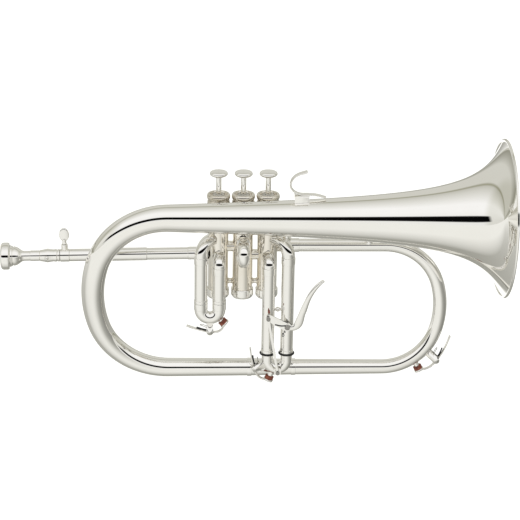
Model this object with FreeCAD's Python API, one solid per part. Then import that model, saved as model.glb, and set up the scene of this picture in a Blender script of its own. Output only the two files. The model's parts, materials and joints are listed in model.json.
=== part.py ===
import FreeCAD, Part
import math
import os

# A B flat flugelhorn, standing upright as it is played.
# Millimetres.  +X runs along the bell towards its rim, +Z up along the valves, and -Y is the
# player's right.  The origin is on the second valve's axis, in the valve block that the hand holds.

V = FreeCAD.Vector
X_AXIS = V(1, 0, 0)
Y_AXIS = V(0, 1, 0)
Z_AXIS = V(0, 0, 1)

# Fits
RUNNING = 0.05              # radial clearance of a sliding or turning fit
GAP = 0.3                   # free gap between faces of pieces that move past each other

# Bell: wall radius = base + taper * x + flare / (mouth - x) ** power
BELL_Y = -30.0
BELL_Z = 56.2
BELL_START_X = -72.5
BELL_END_X = 249.4
BELL_BASE = 9.2
BELL_TAPER = 0.017
BELL_FLARE = 1348.0
BELL_MOUTH_X = 275.0
BELL_POWER = 0.951
BELL_WALL = 0.8
RIM_WIRE_R = 1.5
RIM_FLAT = 0.9              # from the rim wire's centre to the flat face that the bell stands on

# Bows: bow_height spans the two tube axes, depth is how far the centreline reaches past them
TUBE_WALL = 0.6
BOTTOM_Y = -2.0
BOTTOM_Z = -112.0
BOW_DEPTH = 73.8
BOW_LOW_R = 9.3
BOW_END_X = 8.0
FRONT_FERRULE_X = 52.0
FRONT_BOW_X = 140.9
FRONT_BOW_DEPTH = 56.7
FRONT_BOW_R = 7.2
BOTTOM_TUBE_R = 8.7
FRONT_TUBE_R = 7.9
OUTLET_Y = 5.0
OUTLET_Z = 16.0
OUTLET_R = 6.4
OUTLET_FERRULE_X = 54.0
BOW_CORNER = math.radians(73.5)
BOW_SECTIONS = 16

# Valves
PITCH = 24.0
VALVES = 3
CASING_R = 9.9
CASING_BORE_R = 8.6
CASING_LOW_Z = -30.5
CASING_TOP_Z = 56.0
KEYWAY_LOW_Z = 38.0
KEYWAY_REACH = 9.3
CAP_R = 11.4
CAP_KNURL_R = 10.8
CAP_LOW_Z = 50.0
CAP_TOP_Z = 71.5
CAP_FLOOR_Z = 66.5
CAP_CEILING_Z = 64.0
FOOT_CAP_R = 11.2
FOOT_CAP_TOP_Z = -26.5
FOOT_CAP_LOW_Z = -36.5
PISTON_R = CASING_BORE_R - RUNNING
PISTON_LOW_Z = -18.0
PISTON_TOP_Z = 34.0
BARREL_TOP_Z = 63.4
BARREL_R = 8.5
BARREL_BORE_R = 7.9
STEM_R = 2.6
BUTTON_R = 8.8
BUTTON_LOW_Z = 87.6
BUTTON_TOP_Z = 93.6
FELT_R = 5.6
FELT_TOP_Z = 70.3
SPRING_R = 6.0
SPRING_WIRE_R = 0.35
SPRING_COILS = 9
PORT_R = 5.25               # the 10.5 mm bore of the whole wind path up to the bows

# Slides
SLEEVE_R = 6.3
SLEEVE_BORE_R = 5.85
SLIDE_R = SLEEVE_BORE_R - RUNNING
SLIDE_BORE_R = PORT_R
FERRULE_R = 6.75
LEG_Y = -18.0
FIRST_LEG_X = (-41.0, -23.0)
FIRST_END_Z = -35.6
FIRST_ARC_Z = -42.6
THIRD_LEG_X = (44.0, 25.3)
THIRD_END_Z = -88.4
THIRD_ARC_Z = -96.6
UPPER_PORT_Z = 26.0
LOWER_PORT_Z = 9.0
KNUCKLE_R = 14.0
SHORT_KNUCKLE_R = 7.9
SECOND_PORT_Z = (24.9, 9.9)
SECOND_END_Y = -19.0
SECOND_ARC_Y = -24.5
LEG_ENGAGEMENT = 26.0
BUMPER_R = 0.95

# Leadpipe: it falls slightly towards the mouthpiece
LEADPIPE_Z = 9.9
LEADPIPE_FALL = math.radians(1.05)
SHANK_R = 5.3
CLAMP_START = 145.2         # along the leadpipe, from the first valve's axis
CLAMP_LENGTH = 8.8
CLAMP_PIN_R = 1.5

# Braces
BRACE_R = 1.8
OUTLET_BRACE_X = 124.0
SLIDE_BRACE_Z = -42.7
BRACED_STATION = 7          # section of the bell bow that the leadpipe passes closest to

# Third slide trigger
PIVOT = (43.9, -57.4)
ARM_END = (24.9, -47.9)
ROD_END = (35.0, -105.6)
LEVER_BACK_Y = -27.6
LEVER_THICK = 1.8
ROD_THICK = 1.8
TRIGGER_PIN_R = 1.4
ROD_PIN_R = 1.1


def cylinder(radius, start, direction, length):
    return Part.makeCylinder(radius, length, start, direction)


def ring(outer, inner, start, direction, length):
    return cylinder(outer, start, direction, length).cut(cylinder(inner, start, direction, length))


def box(low, high):
    return Part.makeBox(high.x - low.x, high.y - low.y, high.z - low.z, low)


def fuse(shapes):
    whole = shapes[0]
    for shape in shapes[1:]:
        whole = whole.fuse(shape)
    return whole.removeSplitter()


def lathe(points, base, direction):
    """Turns an outline of (distance along, radius) points about an axis."""
    axis = V(direction).normalize()
    side = axis.cross(Y_AXIS).normalize()
    corners = [base + axis * along + side * radius for along, radius in points]
    outline = Part.makePolygon(corners + corners[:1])
    return Part.Face(outline).revolve(base, axis, 360)


def section(centre, normal, radius, bore):
    """A round section, or a ring-shaped one where the bore isn't zero."""
    face = Part.Face(Part.Wire(Part.makeCircle(radius, centre, normal)))
    if bore > 0:
        face = face.cut(Part.Face(Part.Wire(Part.makeCircle(bore, centre, normal))))
    return face


def route(points, bends, radius, bore=0.0):
    """A bar or pipe along straight runs joined by tangent arcs, one bend radius for each corner."""
    pieces = []
    start = points[0]
    for corner, after, bend in zip(points[1:-1], points[2:], bends):
        inward = (corner - start).normalize()
        outward = (after - corner).normalize()
        turn = inward.getAngle(outward)
        setback = bend * math.tan(turn / 2)
        arc_start = corner - inward * setback
        if (arc_start - start).Length > 0.01:
            pieces.append(section(start, inward, radius, bore).extrude(arc_start - start))
        axis = inward.cross(outward).normalize()
        centre = arc_start + axis.cross(inward).normalize() * bend
        pieces.append(section(arc_start, inward, radius, bore).revolve(centre, axis, math.degrees(turn)))
        start = corner + outward * setback
    last = points[-1] - start
    if last.Length > 0.01:
        pieces.append(section(start, last, radius, bore).extrude(last))
    return fuse(pieces)


def circle_loft(sections):
    wires = [Part.Wire(Part.makeCircle(radius, centre, normal)) for centre, normal, radius in sections]
    return Part.makeLoft(wires, True, False)


def oval_loft(sections, thickness):
    """A flattened bar across Y through (x, y, z, direction in degrees, width) sections."""
    wires = []
    for x, y, z, angle, width in sections:
        along = V(math.cos(math.radians(angle)), 0, math.sin(math.radians(angle)))
        across = Y_AXIS.cross(along)
        major, minor = max(width, thickness) / 2, min(width, thickness) / 2
        major_axis = across if width >= thickness else Y_AXIS
        curve = Part.Ellipse(V(0, 0, 0), major, minor)
        wire = Part.Wire(curve.toShape())
        minor_axis = along.cross(major_axis)
        wire.Placement = FreeCAD.Placement(V(x, y, z), FreeCAD.Rotation(major_axis, minor_axis, along, "ZXY"))
        wires.append(wire)
    return Part.makeLoft(wires, True, False)


def bell_radius(x):
    return BELL_BASE + BELL_TAPER * x + BELL_FLARE / (BELL_MOUTH_X - x) ** BELL_POWER


def bell_slope(x):
    step = 0.01
    return (bell_radius(x + step) - bell_radius(x - step)) / (2 * step)


def bell():
    """Flaring sheet bell, spun about its axis, with a rolled wire rim cut flat on its mouth."""
    stations = [BELL_START_X, -30, 20, 70, 115, 150, 180, 202, 218, 230, 239, 245, BELL_END_X]
    outer = []
    inner = []
    for x in stations:
        slope = bell_slope(x)
        lean = math.hypot(1, slope)
        outer.append(V(x, BELL_Y, BELL_Z + bell_radius(x)))
        inner.append(V(x + BELL_WALL * slope / lean, BELL_Y, BELL_Z + bell_radius(x) - BELL_WALL / lean))
    inner[0].x = BELL_START_X
    outer_curve = Part.BSplineCurve()
    outer_curve.interpolate(outer)
    inner_curve = Part.BSplineCurve()
    inner_curve.interpolate(inner)
    edges = [
        outer_curve.toShape(),
        Part.makeLine(outer[-1], inner[-1]),
        inner_curve.toShape(),
        Part.makeLine(inner[0], outer[0]),
    ]
    sheet = Part.Face(Part.Wire(Part.__sortEdges__(edges)))
    horn = sheet.revolve(V(0, BELL_Y, BELL_Z), X_AXIS, 360)
    rim_radius = bell_radius(BELL_END_X)
    rim = Part.makeTorus(rim_radius, RIM_WIRE_R, V(BELL_END_X, BELL_Y, BELL_Z), X_AXIS)
    mouth = cylinder(rim_radius * 2, V(BELL_END_X + RIM_FLAT, BELL_Y, BELL_Z), X_AXIS, RIM_WIRE_R)
    return horn.fuse(rim.cut(mouth))


def bow_path(start_x, low, high, depth, sign):
    """Centres and directions round a bow: two corner arcs and one flatter arc between them."""
    half_height = (high - low).Length / 2
    upward = (high - low).normalize()
    outward = X_AXIS * sign
    middle = (high + low) * 0.5
    spread = (half_height - depth) / (math.cos(BOW_CORNER) + math.sin(BOW_CORNER) - 1)
    corner_r = half_height - spread * math.cos(BOW_CORNER)
    flat_r = corner_r + spread
    path = []
    for i in range(BOW_SECTIONS + 1):
        angle = math.pi / 2 - math.pi * i / BOW_SECTIONS
        if abs(angle) > math.pi / 2 - BOW_CORNER:
            side = math.copysign(1, angle)
            centre = upward * (side * (half_height - corner_r))
            radius = corner_r
        else:
            centre = outward * (depth - flat_r)
            radius = flat_r
        normal = outward * math.cos(angle) + upward * math.sin(angle)
        along = outward * math.sin(angle) - upward * math.cos(angle)
        path.append((V(start_x, 0, 0) + middle + centre + normal * radius, along))
    return path


def bow_shell(path, first_radius, last_radius, wall):
    count = len(path) - 1
    outer = []
    inner = []
    for i, (centre, along) in enumerate(path):
        radius = first_radius + (last_radius - first_radius) * i / count
        outer.append((centre, along, radius))
        inner.append((centre, along, radius - wall))
    return circle_loft(outer).cut(circle_loft(inner))


def taper(first, last, first_radius, last_radius, wall):
    """A conical pipe between two points."""
    length = (last - first).Length
    outline = [(0, first_radius), (length, last_radius), (length, last_radius - wall), (0, first_radius - wall)]
    return lathe(outline, first, last - first)


def bell_bow_path():
    return bow_path(BELL_START_X, V(0, BOTTOM_Y, BOTTOM_Z), V(0, BELL_Y, BELL_Z), BOW_DEPTH, -1)


def bell_bow():
    """The bow that carries on from the bell's small end, round and back to the first ferrule."""
    path = bell_bow_path()
    curve = bow_shell(path, bell_radius(BELL_START_X), BOW_LOW_R, TUBE_WALL)
    run = taper(path[-1][0], V(BOW_END_X, BOTTOM_Y, BOTTOM_Z), BOW_LOW_R, BOTTOM_TUBE_R, TUBE_WALL)
    return curve.fuse(run)


def bottom_tube():
    low = V(BOW_END_X, BOTTOM_Y, BOTTOM_Z)
    high = V(FRONT_FERRULE_X, BOTTOM_Y, BOTTOM_Z)
    return taper(low, high, BOTTOM_TUBE_R, FRONT_TUBE_R, TUBE_WALL)


def front_bow_path():
    return bow_path(FRONT_BOW_X, V(0, BOTTOM_Y, BOTTOM_Z), V(0, OUTLET_Y, OUTLET_Z), FRONT_BOW_DEPTH, 1)


def front_bow():
    """The smaller bow under the bell, between the third valve's outlet and the bottom tube."""
    path = front_bow_path()
    curve = bow_shell(path, OUTLET_R, FRONT_BOW_R, TUBE_WALL)
    outlet = taper(V(OUTLET_FERRULE_X, OUTLET_Y, OUTLET_Z), path[0][0], OUTLET_R, OUTLET_R, TUBE_WALL)
    lower = taper(path[-1][0], V(FRONT_FERRULE_X, BOTTOM_Y, BOTTOM_Z), FRONT_BOW_R, FRONT_TUBE_R, TUBE_WALL)
    return curve.fuse(outlet).fuse(lower)


def front_bow_outside():
    """The front bow's filled outer shape."""
    step = (FRONT_BOW_R - OUTLET_R) / BOW_SECTIONS
    stations = enumerate(front_bow_path())
    return circle_loft([(centre, along, OUTLET_R + step * i) for i, (centre, along) in stations])


def tube_ferrules():
    """Soldered sleeves over the joints of the bottom tube and of the outlet tube."""
    bottom = V(0, BOTTOM_Y, BOTTOM_Z)
    outlet = V(0, OUTLET_Y, OUTLET_Z)
    places = [(bottom, BOW_END_X, BOTTOM_TUBE_R), (bottom, FRONT_FERRULE_X, FRONT_TUBE_R)]
    half = 2.2
    bands = []
    for line, x, radius in places:
        bands.append(ring(radius + 0.5, radius + 0.05, line + V(x - half, 0, 0), X_AXIS, half * 2))
    bands.append(ring(OUTLET_R + 0.5, OUTLET_R + 0.02, outlet + V(OUTLET_FERRULE_X - 7, 0, 0), X_AXIS, 8.5))
    return Part.makeCompound(bands)


def valve_x(number):
    return (number - 2) * PITCH


def knuckle_points(number):
    """The corner points of the first and third valves' upper and lower elbows."""
    x = valve_x(number)
    legs = FIRST_LEG_X if number == 1 else THIRD_LEG_X
    upper = [V(x, 0, UPPER_PORT_Z), V(legs[0], LEG_Y, UPPER_PORT_Z)]
    lower = [V(x, 0, LOWER_PORT_Z), V(legs[1], LEG_Y, LOWER_PORT_Z)]
    return upper, lower


def wind_ports(number):
    """Bars where the wind passes through the casing walls."""
    x = valve_x(number)
    reach = CASING_R + 1
    bars = []
    if number == 2:
        for z in SECOND_PORT_Z:
            bars.append(cylinder(PORT_R, V(x, 0, z), -Y_AXIS, reach))
    else:
        for port, elbow in knuckle_points(number):
            bars.append(cylinder(PORT_R, port, elbow - port, reach))
    return bars


def valve_casing(number):
    x = valve_x(number)
    tube = ring(CASING_R, CASING_BORE_R, V(x, 0, CASING_LOW_Z), Z_AXIS, CASING_TOP_Z - CASING_LOW_Z)
    for bar in wind_ports(number):
        tube = tube.cut(bar)
    keyway = box(V(x - 2.5, -KEYWAY_REACH, KEYWAY_LOW_Z), V(x + 2.5, KEYWAY_REACH, CASING_TOP_Z + 1))
    return tube.cut(keyway)


def top_cap(number):
    """Screw cap: knurled skirt, rolled rim, and a dished top with a hole for the stem."""
    base = V(valve_x(number), 0, 0)
    skirt = CASING_R + RUNNING
    outline = [
        (CAP_LOW_Z, skirt), (CAP_LOW_Z, CAP_KNURL_R - 0.4), (CAP_LOW_Z + 0.5, CAP_KNURL_R),
        (CAP_TOP_Z - 7.5, CAP_KNURL_R), (CAP_TOP_Z - 6.6, CAP_KNURL_R - 0.6), (CAP_TOP_Z - 5.6, CAP_KNURL_R),
        (CAP_TOP_Z - 4.2, CAP_R - 0.1), (CAP_TOP_Z - 2.8, CAP_R), (CAP_TOP_Z - 1.2, CAP_R - 0.4),
        (CAP_TOP_Z - 0.2, CAP_R - 1.3), (CAP_TOP_Z, CAP_R - 2.2), (CAP_TOP_Z - 0.6, CAP_R - 3.0),
        (CAP_FLOOR_Z + 0.8, CAP_R - 3.9), (CAP_FLOOR_Z, CAP_R - 5.2), (CAP_FLOOR_Z, STEM_R + 0.4),
        (CAP_CEILING_Z, STEM_R + 0.4), (CAP_CEILING_Z, skirt),
    ]
    return lathe(outline, base, Z_AXIS)


def foot_cap(number):
    """Screw cap under the valve, with a shallow cup inside and a vent hole."""
    base = V(valve_x(number), 0, 0)
    skirt = CASING_R + RUNNING
    outline = [
        (FOOT_CAP_TOP_Z, skirt), (FOOT_CAP_TOP_Z, FOOT_CAP_R - 0.6), (FOOT_CAP_TOP_Z - 0.6, FOOT_CAP_R - 0.1),
        (FOOT_CAP_TOP_Z - 6.0, FOOT_CAP_R), (FOOT_CAP_LOW_Z + 1.8, FOOT_CAP_R - 0.6),
        (FOOT_CAP_LOW_Z + 0.6, FOOT_CAP_R - 2.0), (FOOT_CAP_LOW_Z, FOOT_CAP_R - 4.0), (FOOT_CAP_LOW_Z, 1.5),
        (FOOT_CAP_LOW_Z + 1.6, 1.5), (FOOT_CAP_LOW_Z + 1.6, CASING_BORE_R + 0.1),
        (CASING_LOW_Z - 0.1, CASING_BORE_R + 0.1), (CASING_LOW_Z - 0.1, skirt),
    ]
    return lathe(outline, base, Z_AXIS)


def piston(number):
    """Ported piston below, and above it the slotted barrel that holds the guide and the spring."""
    x = valve_x(number)
    body = cylinder(PISTON_R, V(x, 0, PISTON_LOW_Z), Z_AXIS, PISTON_TOP_Z - PISTON_LOW_Z)
    body = body.cut(cylinder(PORT_R - 1.5, V(x, 0, PISTON_LOW_Z), Z_AXIS, 14))
    for bar in wind_ports(number):
        body = body.cut(bar)
    for z in (-1.0, 15.0):
        body = body.cut(cylinder(4.2, V(x - CASING_R, 0, z), X_AXIS, 2 * CASING_R))
    barrel = ring(BARREL_R, BARREL_BORE_R, V(x, 0, PISTON_TOP_Z), Z_AXIS, BARREL_TOP_Z - PISTON_TOP_Z)
    lid = cylinder(BARREL_R, V(x, 0, BARREL_TOP_Z - 1.6), Z_AXIS, 1.6)
    slot = box(V(x - 2.7, -CASING_R, KEYWAY_LOW_Z - 1), V(x + 2.7, CASING_R, BARREL_TOP_Z - 4.5))
    return body.fuse(barrel.fuse(lid).cut(slot))


def valve_guide(number):
    """Keyed bridge that stops the piston turning and carries the foot of the spring."""
    x = valve_x(number)
    plate = cylinder(BARREL_BORE_R - GAP, V(x, 0, KEYWAY_LOW_Z), Z_AXIS, 2.4)
    ear = box(V(x - 2.3, -9.15, KEYWAY_LOW_Z), V(x + 2.3, 9.15, KEYWAY_LOW_Z + 2.4))
    return plate.fuse(ear)


def valve_spring(number):
    """Spring between the fixed guide and the barrel's lid, its coils drawn as closed rings."""
    foot = KEYWAY_LOW_Z + 2.9
    height = BARREL_TOP_Z - 2.2 - foot
    coils = []
    for step in range(SPRING_COILS):
        z = foot + SPRING_WIRE_R + (height - 2 * SPRING_WIRE_R) * step / (SPRING_COILS - 1)
        coils.append(Part.makeTorus(SPRING_R, SPRING_WIRE_R, V(valve_x(number), 0, z), Z_AXIS))
    return Part.makeCompound(coils)


def valve_stem(number):
    low = V(valve_x(number), 0, BARREL_TOP_Z)
    return cylinder(STEM_R, low, Z_AXIS, BUTTON_LOW_Z - BARREL_TOP_Z)


def finger_button(number):
    """Mushroom button with a shallow dish on top."""
    base = V(valve_x(number), 0, 0)
    low = BUTTON_LOW_Z
    top = BUTTON_TOP_Z
    outline = [
        (low, 0), (low, STEM_R + 0.6), (low + 0.5, 4.6), (low + 1.3, 6.8), (low + 2.2, 8.2),
        (low + 3.0, BUTTON_R), (low + 3.9, BUTTON_R), (top - 1.1, BUTTON_R - 0.4), (top - 0.3, BUTTON_R - 1.2),
        (top, BUTTON_R - 2.0), (top - 0.4, 4.0), (top - 0.5, 0),
    ]
    return lathe(outline, base, Z_AXIS)


def cap_felt(number):
    low = V(valve_x(number), 0, CAP_FLOOR_Z)
    return ring(FELT_R, STEM_R + 0.4, low, Z_AXIS, FELT_TOP_Z - CAP_FLOOR_Z)


def valve_connectors():
    """The two short pipes between the casings, and the stub that leaves the third one."""
    pieces = []
    for number, z in ((1, 16.8), (2, 8.2)):
        x = valve_x(number)
        middle = x + PITCH / 2
        bar = ring(5.2, 4.4, V(x, 0, z), X_AXIS, PITCH)
        bar = bar.cut(cylinder(CASING_R, V(x, 0, z - 10), Z_AXIS, 20))
        bar = bar.cut(cylinder(CASING_R, V(x + PITCH, 0, z - 10), Z_AXIS, 20))
        pieces.append(bar)
        spool = lathe([(-2.4, 0), (-2.4, 3.4), (-1.2, 2.6), (1.2, 2.6), (2.4, 3.4), (2.4, 0)],
                      V(middle, 0, -19.5), X_AXIS)
        spool = spool.cut(cylinder(CASING_R, V(x, 0, -25), Z_AXIS, 12))
        pieces.append(spool.cut(cylinder(CASING_R, V(x + PITCH, 0, -25), Z_AXIS, 12)))
    start = V(valve_x(3) + 2, OUTLET_Y, OUTLET_Z)
    stub = ring(OUTLET_R, OUTLET_R - TUBE_WALL, start, X_AXIS, OUTLET_FERRULE_X - start.x)
    pieces.append(stub.cut(cylinder(CASING_R, V(valve_x(3), 0, OUTLET_Z - 10), Z_AXIS, 20)))
    return Part.makeCompound(pieces)


def slide_sleeves(number, end_z):
    """Two outer slide tubes with the elbows that carry them from the casing."""
    shapes = []
    for points, bend in zip(knuckle_points(number), (KNUCKLE_R, SHORT_KNUCKLE_R)):
        port, corner = points
        first = [port, corner, V(corner.x, corner.y, end_z)]
        ferrule_z = corner.z - bend
        tube = route(first, [bend], SLEEVE_R, SLEEVE_BORE_R)
        shapes.append(tube.cut(cylinder(CASING_R, V(port.x, 0, port.z - 10), Z_AXIS, 20)))
        shapes.append(ring(FERRULE_R, SLEEVE_R - 0.1, V(corner.x, corner.y, ferrule_z - 7), Z_AXIS, 7))
        shapes.append(ring(FERRULE_R, SLEEVE_R - 0.1, V(corner.x, corner.y, end_z), Z_AXIS, 3))
    return fuse(shapes)


def crook_route(legs_x, top_z, arc_z, radius, bore=0.0):
    """A U of tube between two upright legs."""
    half = abs(legs_x[0] - legs_x[1]) / 2
    left, right = min(legs_x), max(legs_x)
    points = [V(left, LEG_Y, top_z), V(left, LEG_Y, arc_z - half), V(right, LEG_Y, arc_z - half),
              V(right, LEG_Y, top_z)]
    return route(points, [half, half], radius, bore)


def first_slide():
    """Inner first slide: two close-fitting legs, their ferrules and a crook as wide as the sleeves."""
    top = FIRST_END_Z - 0.15
    slide = crook_route(FIRST_LEG_X, FIRST_END_Z + LEG_ENGAGEMENT, FIRST_ARC_Z, SLIDE_R, SLIDE_BORE_R)
    slide = slide.fuse(crook_route(FIRST_LEG_X, top, FIRST_ARC_Z, SLEEVE_R, SLIDE_R - 0.01))
    for x in FIRST_LEG_X:
        slide = slide.fuse(ring(FERRULE_R, SLIDE_R, V(x, LEG_Y, FIRST_ARC_Z), Z_AXIS, top - FIRST_ARC_Z))
    return slide


def third_slide():
    """Inner third slide, with the slotted ear that the trigger rod pulls on."""
    top = THIRD_END_Z + 2 * LEG_ENGAGEMENT
    slide = crook_route(THIRD_LEG_X, top, THIRD_ARC_Z, SLIDE_R, SLIDE_BORE_R)
    x, z = ROD_END
    back = LEVER_BACK_Y - LEVER_THICK
    ear = box(V(x - 3.3, back, z - 3.0), V(x + 3.3, LEVER_BACK_Y, z + 3.2))
    slot = box(V(x - 2.1, back - 1, z - 1.7), V(x + 2.1, LEVER_BACK_Y + 1, z + 2.0))
    post = box(V(x - 2.0, LEVER_BACK_Y, z - 3.0), V(x + 2.0, LEG_Y, z - 1.9))
    post = post.cut(crook_route(THIRD_LEG_X, top, THIRD_ARC_Z, SLIDE_R - 0.1))
    return slide.fuse(post.fuse(ear.cut(slot)))


def slide_bumper_rings():
    rings = []
    for x in THIRD_LEG_X:
        centre = V(x, LEG_Y, THIRD_END_Z - BUMPER_R - 0.1)
        rings.append(Part.makeTorus(SLIDE_R + GAP + BUMPER_R, BUMPER_R, centre, Z_AXIS))
    return Part.makeCompound(rings)


def second_sleeves():
    sleeves = []
    for z in SECOND_PORT_Z:
        tube = ring(SLEEVE_R, SLEEVE_BORE_R, V(0, 0, z), -Y_AXIS, -SECOND_END_Y)
        sleeves.append(tube.cut(cylinder(CASING_R, V(0, 0, z - 10), Z_AXIS, 20)))
    return Part.makeCompound(sleeves)


def second_slide():
    """Inner second slide, a short crook in the upright plane, pulled towards the player's right."""
    high, low = SECOND_PORT_Z
    half = (high - low) / 2
    start = -CASING_R - 1.0
    end = SECOND_END_Y - 0.15
    turn = SECOND_ARC_Y - half
    legs = [V(0, start, high), V(0, turn, high), V(0, turn, low), V(0, start, low)]
    crook = [V(0, end, high), legs[1], legs[2], V(0, end, low)]
    slide = route(legs, [half, half], SLIDE_R, SLIDE_BORE_R)
    return slide.fuse(route(crook, [half, half], SLIDE_R + 0.2, SLIDE_R - 0.01))


def lead_direction():
    return V(-math.cos(LEADPIPE_FALL), 0, -math.sin(LEADPIPE_FALL))


def lead_point(distance):
    """A point on the leadpipe's axis, measured from the first valve's axis."""
    return V(valve_x(1), 0, LEADPIPE_Z) + lead_direction() * distance


def leadpipe():
    """Mouthpipe from the clamp to the first valve, stepped at its soldered sleeves."""
    outline = [
        (9.0, 5.3), (9.0, 6.3), (29.3, 6.3), (29.8, 5.85), (69.5, 5.85), (70.0, 6.35), (113.5, 6.35),
        (114.0, 6.05), (144.9, 6.05), (145.0, 5.75), (153.0, 5.75), (153.0, SHANK_R + RUNNING),
        (112.0, SHANK_R + RUNNING), (110.0, 5.0), (30.0, 5.25),
    ]
    tube = lathe(outline, lead_point(0), lead_direction())
    return tube.cut(cylinder(CASING_R, V(valve_x(1), 0, -5), Z_AXIS, 30))


def lead_upward():
    return Y_AXIS.cross(lead_direction()).normalize()


def clamp_collar():
    """Split collar on the leadpipe's end, with the boss that the thumb screw turns in."""
    start = lead_point(CLAMP_START)
    collar = ring(6.35, 5.8, start, lead_direction(), CLAMP_LENGTH)
    foot = lead_point(CLAMP_START + CLAMP_LENGTH / 2)
    boss = cylinder(3.1, foot, lead_upward(), 11.6)
    boss = boss.cut(cylinder(6.1, lead_point(CLAMP_START - 5), lead_direction(), 20))
    bore = cylinder(CLAMP_PIN_R + RUNNING, foot + lead_upward() * 7.4, lead_upward(), 10)
    slit = box(V(start.x - 12, -0.35, start.z - 12), V(start.x + 2, 0.35, start.z - 5))
    return collar.fuse(boss).cut(bore).cut(slit)


def clamp_screw():
    """Thumb screw with an oval wing, standing upright on the clamp collar."""
    upward = lead_upward()
    foot = lead_point(CLAMP_START + CLAMP_LENGTH / 2)
    shaft = cylinder(CLAMP_PIN_R, foot + upward * 7.8, upward, 8.0)
    neck = cylinder(2.2, foot + upward * 11.9, upward, 3.6)
    wing = Part.Face(Part.Wire(Part.Ellipse(V(0, 0, 0), 6.7, 4.8).toShape())).extrude(V(0, 0, 2.0))
    turn = FreeCAD.Rotation(upward, upward.cross(Y_AXIS) * -1, -Y_AXIS, "XZY")
    wing.Placement = FreeCAD.Placement(foot + upward * 21.4 + V(0, 1.0, 0), turn)
    return shaft.fuse(neck).fuse(wing)


def tuning_shank():
    """Inner tuning tube with the receiver that takes the mouthpiece."""
    outline = [
        (116.0, SHANK_R - 0.6), (116.0, SHANK_R), (154.3, SHANK_R), (154.6, 6.1), (156.0, 6.2), (156.5, 5.7),
        (157.2, 5.7), (157.7, 6.2), (159.6, 6.1), (160.4, 5.9), (163.0, 6.2), (166.5, 6.8), (170.5, 5.9),
        (173.5, 5.5), (173.8, 5.3), (173.8, 4.75), (157.0, 4.45), (156.0, 4.7),
    ]
    tube = lathe(outline, lead_point(0), lead_direction())
    knob = Part.makeSphere(2.1, lead_point(167.0) + V(0, -7.6, 0))
    knob = knob.cut(cylinder(6.0, lead_point(160), lead_direction(), 14))
    return tube.fuse(knob)


def mouthpiece():
    """Turned cup mouthpiece: rim, cup with a groove, throat and a tapered shank."""
    outline = [
        (157.5, 1.9), (157.5, 4.4), (173.9, 4.7), (174.2, 5.15), (183.0, 5.2), (183.4, 4.85), (189.4, 4.85),
        (191.0, 5.3), (192.6, 6.4), (194.4, 7.9), (196.5, 9.0), (198.8, 9.5), (199.4, 9.1), (199.9, 9.1),
        (200.4, 9.9), (202.4, 10.4), (203.0, 12.2), (203.6, 13.0), (205.4, 13.3), (209.2, 13.3), (210.6, 12.8),
        (211.4, 11.6), (211.6, 10.2), (211.0, 9.0), (209.0, 8.6), (204.0, 7.4), (199.0, 5.0), (195.0, 2.4),
        (190.0, 1.9),
    ]
    return lathe(outline, lead_point(0), lead_direction())


def strut(first, last, radius, foot):
    """A round brace with a wider foot at each end."""
    length = (last - first).Length
    outline = [(0, 0), (0, foot), (0.8, foot), (2.0, radius), (length - 2.0, radius), (length - 0.8, foot),
               (length, foot), (length, 0)]
    return lathe(outline, first, last - first)


def link_brace(first, first_radius, last, last_radius, foot):
    """A strut between the surfaces of two tubes, given a centre and a radius for each."""
    link = (last - first).normalize()
    return strut(first + link * first_radius, last - link * last_radius, BRACE_R, foot)


def tube_braces():
    """Struts from the bell and bows to the valves and leadpipe."""
    pieces = []
    for number in (1, 3):
        x = valve_x(number)
        brace = cylinder(3.2, V(x, 0, 45.5), V(0, -30, 4), 18)
        brace = brace.cut(cylinder(CASING_R, V(x, 0, 30), Z_AXIS, 30))
        pieces.append(brace.cut(cylinder(bell_radius(x + 3.5) + 0.02, V(x - 20, BELL_Y, BELL_Z), X_AXIS, 40)))
    pieces.append(link_brace(V(OUTLET_BRACE_X, BELL_Y, BELL_Z), bell_radius(OUTLET_BRACE_X) + 0.45,
                             V(OUTLET_BRACE_X, OUTLET_Y, OUTLET_Z), OUTLET_R + 0.1, 3.4))
    shoulder = V(THIRD_LEG_X[0] - 2, LEG_Y + 2, UPPER_PORT_Z)
    bell_foot = V(shoulder.x, BELL_Y, BELL_Z)
    pieces.append(link_brace(bell_foot, bell_radius(shoulder.x) + 0.45, shoulder, SLEEVE_R - 0.1, 4.2))
    middle = V(sum(THIRD_LEG_X) / 2, LEG_Y, SLIDE_BRACE_Z)
    half = abs(THIRD_LEG_X[0] - THIRD_LEG_X[1]) / 2 - SLEEVE_R
    bar = cylinder(1.4, middle - X_AXIS * half, X_AXIS, 2 * half)
    pieces.append(bar.fuse(Part.makeSphere(2.4, middle, X_AXIS)))
    start_r = bell_radius(BELL_START_X)
    bow_r = start_r + (BOW_LOW_R - start_r) * BRACED_STATION / BOW_SECTIONS
    bow_centre, bow_along = bell_bow_path()[BRACED_STATION][:2]
    crossing = lead_point((bow_centre - lead_point(0)).dot(lead_direction()))
    brace = link_brace(crossing, 6.15, bow_centre, bow_r, 2.6)
    pieces.append(brace.cut(cylinder(bow_r + 0.35, bow_centre - bow_along * 10, bow_along, 20)))
    return Part.makeCompound(pieces)


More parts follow.
